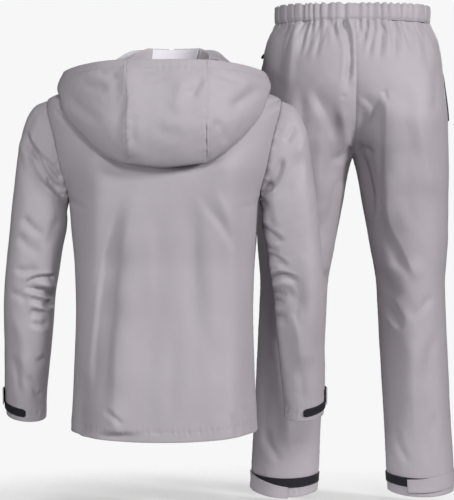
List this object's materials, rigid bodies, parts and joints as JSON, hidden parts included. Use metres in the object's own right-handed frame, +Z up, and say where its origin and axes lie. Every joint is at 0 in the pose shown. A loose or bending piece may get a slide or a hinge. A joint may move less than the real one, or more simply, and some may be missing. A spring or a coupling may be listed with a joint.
{
  "type": "rain suit",
  "caption": "Hooded rain jacket with a closed front zip, and elastic-waist rain trousers beside it, both hollow as if worn.",
  "frame": {"origin": "middle of the jacket's neck opening at the height of the shoulders, where the wearer's shoulders carry it", "axes": "+Z up, +Y to the wearer's front, +X to the wearer's right; the trousers hang to the right of the jacket and further forward"},
  "size_m": [0.9351, 0.5425, 1.028],
  "materials": {
    "shell": "soft coated polyester, satin",
    "lining": "pale smooth coating",
    "strap": "matt hook-and-loop tape",
    "zip": "woven tape with a moulded chain",
    "slider": "black enamel",
    "pull": "moulded, satin"
  },
  "bodies": {
    "suit": {"jacket_back": "shell", "jacket_front_right": "shell", "jacket_front_left": "shell", "sleeve_right": "shell", "sleeve_left": "shell", "cuff_strip_right": "strap", "cuff_strip_left": "strap", "cuff_tab_right": "shell", "cuff_tab_left": "shell", "hood_centre": "shell", "hood_side_right": "shell", "hood_side_left": "shell", "collar": "shell", "collar_lining": "lining", "collar_facing_right": "shell", "collar_facing_left": "shell", "front_zip": "zip", "front_slider": "slider", "leg_back_right": "shell", "leg_back_left": "shell", "leg_front_right": "shell", "leg_front_left": "shell", "waistband": "shell", "hem_strip_right": "strap", "hem_strip_left": "strap", "hem_tab_right": "shell", "hem_tab_left": "shell", "pocket_right_zip": "zip", "pocket_right_slider": "slider", "pocket_left_zip": "zip", "pocket_left_slider": "slider"},
    "front_pull": {"front_pull": "pull"},
    "pocket_right_pull": {"pocket_right_pull": "pull"},
    "pocket_left_pull": {"pocket_left_pull": "pull"}
  },
  "joints": [
    {"name": "front_pull_hinge", "type": "hinge", "parent": "suit", "child": "front_pull", "pos_m": [0.00988, 0.09452, 0.03561], "axis": [0.9917, 0, -0.1289], "range_deg": [0, 150]},
    {"name": "pocket_right_pull_hinge", "type": "hinge", "parent": "suit", "child": "pocket_right_pull", "pos_m": [0.56686, 0.28601, 0.0671], "axis": [0.2035, -0.6408, 0.7402], "range_deg": [0, 150]},
    {"name": "pocket_left_pull_hinge", "type": "hinge", "parent": "suit", "child": "pocket_left_pull", "pos_m": [0.21312, 0.28596, 0.06716], "axis": [0.1911, 0.6483, -0.737], "range_deg": [0, 150]}
  ]
}
